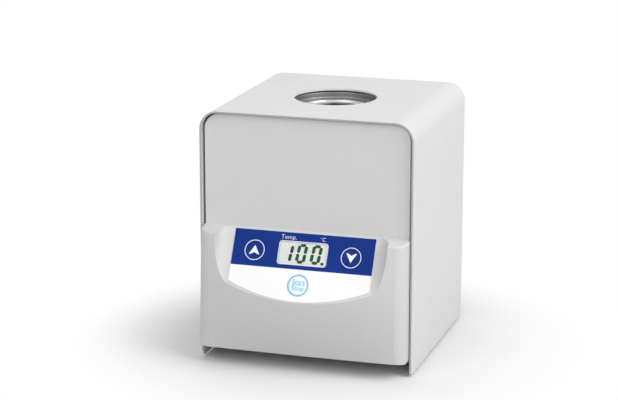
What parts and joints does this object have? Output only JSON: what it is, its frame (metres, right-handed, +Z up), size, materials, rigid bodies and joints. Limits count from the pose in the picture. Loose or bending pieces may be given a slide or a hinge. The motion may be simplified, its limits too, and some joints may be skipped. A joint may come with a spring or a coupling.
{
  "type": "glass bead sterilizer",
  "caption": "Bench-top bead sterilizer: white box with a folded cover, tilted keypad with display, and a heated bead well under a round top opening.",
  "frame": {"origin": "centre of the footprint on the bench", "axes": "+Z up, the front with the keypad faces -Y, +X to the right as seen from the front"},
  "size_m": [0.15, 0.1702, 0.1754],
  "materials": {
    "white_coat": "satin",
    "white_moulding": "satin",
    "film_print": "satin",
    "key_blue": "satin",
    "key_white": "satin",
    "clear_pane": "polished",
    "display_grey": "satin",
    "board_green": "satin",
    "black_plastic": "satin",
    "stainless": "brushed",
    "zinc_steel": "satin",
    "beads_glass": "polished",
    "mica": "satin",
    "ceramic_fibre": "matte",
    "aluminium": "satin",
    "relay_blue": "satin",
    "capacitor_red": "satin",
    "transformer_core": "satin",
    "terminal_green": "satin",
    "brass": "satin",
    "fuse_glass": "polished",
    "foot_rubber": "matte"
  },
  "bodies": {
    "housing": {"outer_cover": "white_coat", "chassis": "white_coat", "fascia": "white_moulding", "control_overlay": "film_print", "display_window": "clear_pane", "display_module": "display_grey", "control_board": "board_green", "control_board_screws": "zinc_steel", "key_switches": "black_plastic", "fascia_screws": "zinc_steel", "well_collar": "stainless", "well_cup": "stainless", "bead_bed": "beads_glass", "band_heater": "mica", "heater_screw": "zinc_steel", "temperature_probe": "stainless", "insulation_sleeve": "ceramic_fibre", "insulation_pad": "ceramic_fibre", "heat_shield": "zinc_steel", "well_stand": "zinc_steel", "well_stand_screws": "zinc_steel", "thermal_cutout": "black_plastic", "board_standoffs": "brass", "power_board": "board_green", "power_board_screws": "zinc_steel", "transformer": "transformer_core", "relay": "relay_blue", "heatsink": "aluminium", "triac": "black_plastic", "capacitor": "capacitor_red", "terminal_block": "terminal_green", "mains_inlet": "black_plastic", "inlet_pins": "brass", "inlet_screws": "zinc_steel", "switch_frame": "black_plastic", "earth_stud": "brass", "cover_screws": "zinc_steel", "foot_front_left": "foot_rubber", "foot_front_right": "foot_rubber", "foot_back_left": "foot_rubber", "foot_back_right": "foot_rubber", "foot_screws": "zinc_steel"},
    "up_key": {"up_key": "key_blue"},
    "down_key": {"down_key": "key_blue"},
    "start_stop_key": {"start_stop_key": "key_white"},
    "power_rocker": {"power_rocker": "black_plastic"},
    "fuse_drawer": {"fuse_drawer": "black_plastic", "fuse": "fuse_glass"}
  },
  "joints": [
    {"name": "up_key_press", "type": "slide", "parent": "housing", "child": "up_key", "axis": [0, 0.8792, -0.4765], "range_m": [0, 0.0005], "stiffness_N_per_m": 600},
    {"name": "down_key_press", "type": "slide", "parent": "housing", "child": "down_key", "axis": [0, 0.8792, -0.4765], "range_m": [0, 0.0005], "stiffness_N_per_m": 600},
    {"name": "start_stop_key_press", "type": "slide", "parent": "housing", "child": "start_stop_key", "axis": [0, 0.8792, -0.4765], "range_m": [0, 0.0005], "stiffness_N_per_m": 600},
    {"name": "rocker_tilt", "type": "hinge", "parent": "housing", "child": "power_rocker", "pos_m": [0.034, 0.08125, 0.05], "axis": [0, 0, 1], "range_deg": [0, 24]},
    {"name": "fuse_drawer_slide", "type": "slide", "parent": "housing", "child": "fuse_drawer", "axis": [0, 1, 0], "range_m": [0, 0.016]}
  ]
}
